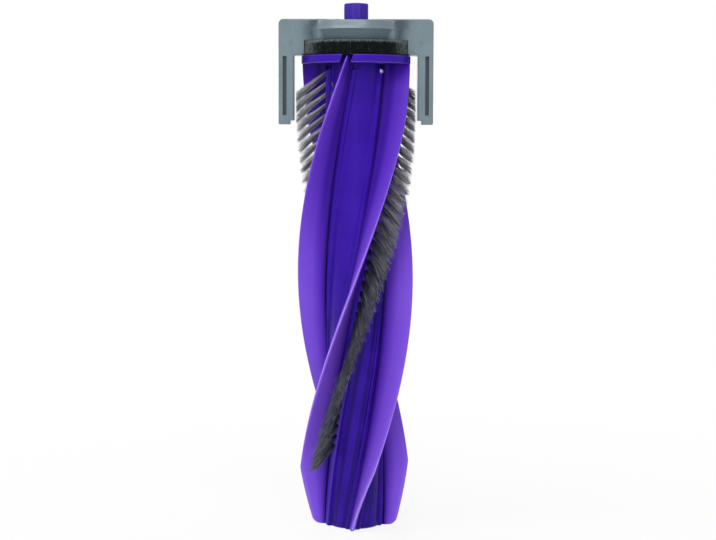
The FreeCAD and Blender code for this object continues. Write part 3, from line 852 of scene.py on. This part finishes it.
# %% Lines across the right-hand bar: inner x, inner z, outer x, outer z, groove
ARM_IN, ARM_OUT = 22.8, 28.5
BRACKET_FOOT, BRACKET_TOP = 175.95, 189.05
BEND_X, BEND_Z, BEND_RADIUS = 22.35, 175.5, 0.45
foot = [(24.55, 150.45, 28.05, 150.45, 0), (24.37, 150.52, 28.3, 150.55, 0)]
foot += [(24.3, 150.7, ARM_OUT, 151.0, 0), (24.3, 151.7, ARM_OUT, 151.7, 0)]
foot += [(24.2, 151.85, ARM_OUT, 151.85, 0), (22.95, 151.95, ARM_OUT, 151.95, 0)]
arm_levels = [(152.15, 0), (153.83, 0), (153.88, 1), (175.4, 1), (175.45, 0)]
arm = [(ARM_IN, z, ARM_OUT, z, groove) for z, groove in arm_levels]
bend = np.radians(np.linspace(0, 90, 12))
outer_x = [ARM_OUT] * 4 + [28.37, 28.0, 27.45, 26.8, 25.6, 24.5, 23.3, 22.2]
outer_z = [175.5, 179.0, 183.0, 187.35, 188.0, 188.55, 188.92] + [BRACKET_TOP] * 5
inner_x = BEND_X + BEND_RADIUS * np.cos(bend)
inner_z = BEND_Z + BEND_RADIUS * np.sin(bend)
fan = np.stack([inner_x, inner_z, outer_x, outer_z, bend * 0], -1)
wing = [(20.5, BRACKET_FOOT, 20.5), (0.2, BRACKET_FOOT, 20.2), (0, 176.15, 20.0)]
wing += [(0, 180.85, 19.9), (-0.2, FELT_SEAT, 19.7), (0, FELT_SEAT, 0)]
wing = [(inner, z, outer, BRACKET_TOP, 0) for inner, z, outer in wing]
lines = np.concatenate([foot, arm, fan, wing])
print("lines across a bar:", len(lines))

# %% Section over each line: start (0 inner, 0.5 middle, 1 outer), distance from there, depth, groove
HALF_DEPTH = 6.0
inner_side = [(0, 0, 0, 0), (0, 0, -2.5, 0), (0, 0, -4.5, 0), (0, 0, -5.4, 0), (0, 0, -5.5, 0)]
inner_edge = [(0, 0.15, -5.85, 0), (0, 0.5, -HALF_DEPTH, 0), (0, 0.6, -HALF_DEPTH, 0)]
face = [(0.5, 0, 0), (1, 3.02, 0), (1, 3.0, 1), (1, 1.62, 1), (1, 1.6, 0)]
face = [(base, distance, -HALF_DEPTH, groove) for base, distance, groove in face]
half_section = np.array(inner_side + inner_edge + face, float)
outer_part = half_section[:len(inner_side + inner_edge)][::-1] + [1, 0, 0, 0]
half_section = np.concatenate([half_section, outer_part])
bar_section = np.concatenate([half_section, half_section[-2:0:-1] * [1, 1, -1, -1]])
print("section of a bar:", len(bar_section), "points")

# %% Two bars, the left one mirrored
GROOVE_DEPTH, POCKET_RADIUS, RECESS_RADIUS = 2.5, 20.0, 8.0
BAR_MIDDLE = np.flatnonzero(bar_section[:, 0] == 0.5)
POCKET_LINES = slice(-5, -1)


def bar_surface(side):
    """inner + (outer - inner) v, with v = distance over the line's length; pocket and recess are round."""
    base, distance, depth, pressed = bar_section.T
    y = depth + GROOVE_DEPTH * pressed * lines[:, 4:]
    inner = np.stack(np.broadcast_arrays(lines[:, :1], lines[:, 1:2], y), -1)[..., :2].copy()
    outer = np.stack(np.broadcast_arrays(lines[:, 2:3], lines[:, 3:4], y), -1)[..., :2].copy()
    inner[POCKET_LINES, :, 0] += np.sqrt(POCKET_RADIUS ** 2 - y[POCKET_LINES] ** 2)
    inner[-1, :, 0] = outer[-1, :, 0] = np.sqrt(RECESS_RADIUS ** 2 - y[-1] ** 2)
    span = np.linalg.norm(outer - inner, axis=-1)
    v = np.where(base == 0, distance / span, 1 - distance / span)
    v[:, BAR_MIDDLE] = (v[:, BAR_MIDDLE - 1] + v[:, BAR_MIDDLE + 1]) / 2
    x, z = np.moveaxis(inner + (outer - inner) * v[..., None], -1, 0)
    return np.stack([side * x, y, z], -1)


# The grooves' floors get painted shade.
soiled = np.abs(bar_section[:, 3]) * lines[:, 4:]
front = np.broadcast_to(np.abs(bar_section[:, 2]) == HALF_DEPTH, soiled.shape)
BRACKET_PLACE = ("bracket", "bracket", ["end_bracket"])
for name, side in (("bracket_arm_right", 1), ("bracket_arm_left", -1)):
    bar = bar_surface(side)
    new_piece(name, bar, lofted(bar), GREY, *BRACKET_PLACE, sharp=30.0, soiled=soiled, front=front)

# %% [markdown]
# The boss is turned, apart from a hollow under its brow at the front and at the back. So its surface is a
# profile carried round the axis, from which a smooth share is taken within about 50 degrees of those
# sides. Its top lies a little lower than the bridge, in a shallow round recess. A Screw modifier could
# turn the profile too, but would leave the hollow to a Boolean cut.

# %% Boss with its brow: radius, level and depth of the hollow
HOLLOW_END, HOLLOW_FULL = 53.5, 48.5
brow = [(7.08, FELT_SEAT, 0), (16.9, FELT_SEAT, 2.3), (17.2, 181.3, 2.2), (17.25, 182.4, 1.7)]
brow += [(17.3, 183.6, 1.1), (17.3, 184.4, 0.66), (17.3, 184.75, 0.36), (17.3, 184.95, 0.1)]
brow += [(17.3, 185.05, 0), (17.26, 185.17, 0), (17.18, 185.3, 0), (17.07, 185.47, 0)]
brow += [(16.86, 185.8, 0), (16.75, 185.97, 0), (16.66, 186.18, 0), (16.08, 187.55, 0)]
brow += [(15.95, 187.85, 0), (15.82, 188.12, 0), (15.62, 188.29, 0), (15.3, BOSS_TOP, 0)]
brow += [(6.1, BOSS_TOP, 0), (5.87, 188.27, 0), (5.8, 188.05, 0), (5.8, 187.35, 0), (7.08, 187.35, 0)]
brow = np.array(brow)
way = np.arange(0, 360, 1.0)
off_front = np.abs((way % 180) - 90)
hollow = brow[:, 2:] * soft_step(off_front, HOLLOW_END, HOLLOW_FULL)
boss = around_axis(brow[:, :1] - hollow, way, brow[:, 1:2])
new_piece("bracket_boss", boss, [grid_quads(*boss.shape[:2], True)], GREY, *BRACKET_PLACE, sharp=40.0)

# %% [markdown]
# ## Floor, light and camera
# The brush stands on a pale floor in a white room. Seen by the camera or in a reflection, the floor is
# close to the room's own white, so that no horizon shows, and under the brush it keeps a faint soft
# shadow. More light would whiten the floor too, but it would wash out the colours of the brush.


# %% Rays that see the white room
def seen_ray(tree):
    """1 for a ray from the camera, a reflection or glass, 0 for a ray that only carries light."""
    ray = node(tree, "ShaderNodeLightPath", {}).outputs
    seen = number(tree, "MAXIMUM", ray["Is Camera Ray"], ray["Is Glossy Ray"])
    return number(tree, "MAXIMUM", seen, ray["Is Transmission Ray"])


# %% Floor
FLOOR_HALF = 3.0
floor_mesh = bpy.data.meshes.new("floor")
floor_corners = [(x * FLOOR_HALF, y * FLOOR_HALF, 0) for x, y in ((-1, -1), (1, -1), (1, 1), (-1, 1))]
floor_mesh.from_pydata(floor_corners, [], [(0, 1, 2, 3)])
floor = bpy.data.objects.new("floor", floor_mesh)
bpy.context.scene.collection.objects.link(floor)
paper, tree, shader, place = new_finish("pale_paper")
fill(tree, shader, {"Base Color": (0.9, 0.9, 0.9, 1), "Roughness": 0.9})
far = vector(tree, "LENGTH", place)["Value"]
white = node(tree, "ShaderNodeEmission", {"Strength": 1.0})
whiteness = between(tree, far, low=0.86, high=1.0, start=0.03, end=0.3)
share = number(tree, "MULTIPLY", whiteness, seen_ray(tree))
mixed = node(tree, "ShaderNodeMixShader", {0: share, 1: shader.outputs[0], 2: white.outputs[0]})
tree.links.new(mixed.outputs[0], tree.nodes["Material Output"].inputs["Surface"])
floor_mesh.materials.append(paper)
print("floor:", 2 * FLOOR_HALF, "m wide")

# %% White room
ROOM_LIGHT, ROOM_WHITE = 0.15, 1.0
room = bpy.data.worlds.new("white_room")
room.use_nodes = True
tree = room.node_tree
dim = node(tree, "ShaderNodeBackground", {"Color": (1, 1, 1, 1), "Strength": ROOM_LIGHT})
bright = node(tree, "ShaderNodeBackground", {"Color": (1, 1, 1, 1), "Strength": ROOM_WHITE})
mixed = node(tree, "ShaderNodeMixShader", {0: seen_ray(tree), 1: dim.outputs[0], 2: bright.outputs[0]})
tree.links.new(mixed.outputs[0], tree.nodes["World Output"].inputs["Surface"])
bpy.context.scene.world = room
print("room: lights the brush at", ROOM_LIGHT, "and looks", ROOM_WHITE)

# %% [markdown]
# Six soft lamps stand round the brush. The key lamp is a wide panel high in front, and its reflection
# makes the bright band on the boss. A smaller one below it and a fill beside the camera open the shadows,
# and the fill leaves no reflection of its own. Two at the sides and one behind shine through the bristles.
# A single strong lamp would be simpler, but its shadows would be hard and black.

# %% Lamps
LAMP_AIM = Vector((0, 0, 0.1))


def soft_lamp(name, place, width, height, watts, glossy=True):
    """A lamp whose -Z axis turns to the brush; a lamp that isn't glossy shows in no reflection."""
    lamp = bpy.data.lights.new(name, "AREA")
    lamp.shape = "RECTANGLE"
    lamp.size = width
    lamp.size_y = height
    lamp.energy = watts
    holder = bpy.data.objects.new(name, lamp)
    holder.visible_glossy = glossy
    holder.location = place
    holder.rotation_euler = (LAMP_AIM - Vector(place)).to_track_quat("-Z", "Y").to_euler()
    bpy.context.scene.collection.objects.link(holder)


soft_lamp("key_lamp", (-0.24, -0.51, 1.21), width=1.6, height=0.4, watts=11.0)
soft_lamp("upper_lamp", (-0.15, -1.05, 0.8), width=0.3, height=0.3, watts=2.0)
soft_lamp("front_lamp", (-0.05, -1.2, 0.22), width=0.5, height=0.5, watts=6.4, glossy=False)
soft_lamp("left_lamp", (-0.75, 0.7, 0.35), width=0.5, height=0.5, watts=3.0)
soft_lamp("right_lamp", (0.75, 0.7, 0.35), width=0.5, height=0.5, watts=1.0)
soft_lamp("back_lamp", (-0.2, 1.2, 0.5), width=0.5, height=0.5, watts=4.0)
print("lamps in all:", round(sum(lamp.energy for lamp in bpy.data.lights), 1), "W")

# %% [markdown]
# The camera stands where the photograph's camera stood, above the middle of the brush and tipped down.
# Its lens is known in pixels of the photograph's width, and the sensor's width turns that into
# millimetres.

# %% Camera at the photograph's place
LENS_PIXELS, IMAGE_WIDTH = 1723.27, 716
TIPPED_DOWN, ROLLED = 0.0799, -0.0032
camera = bpy.data.cameras.new("camera")
camera.sensor_width = 36.0
camera.lens = LENS_PIXELS * camera.sensor_width / IMAGE_WIDTH
viewer = bpy.data.objects.new("camera", camera)
viewer.location = (0.00083, -0.64271, 0.147721)
viewer.rotation_euler = (math.pi / 2 - TIPPED_DOWN, ROLLED, 0)
bpy.context.scene.collection.objects.link(viewer)
bpy.context.scene.camera = viewer
bpy.context.scene.view_settings.view_transform = "Standard"
print("lens in mm:", round(camera.lens, 2))
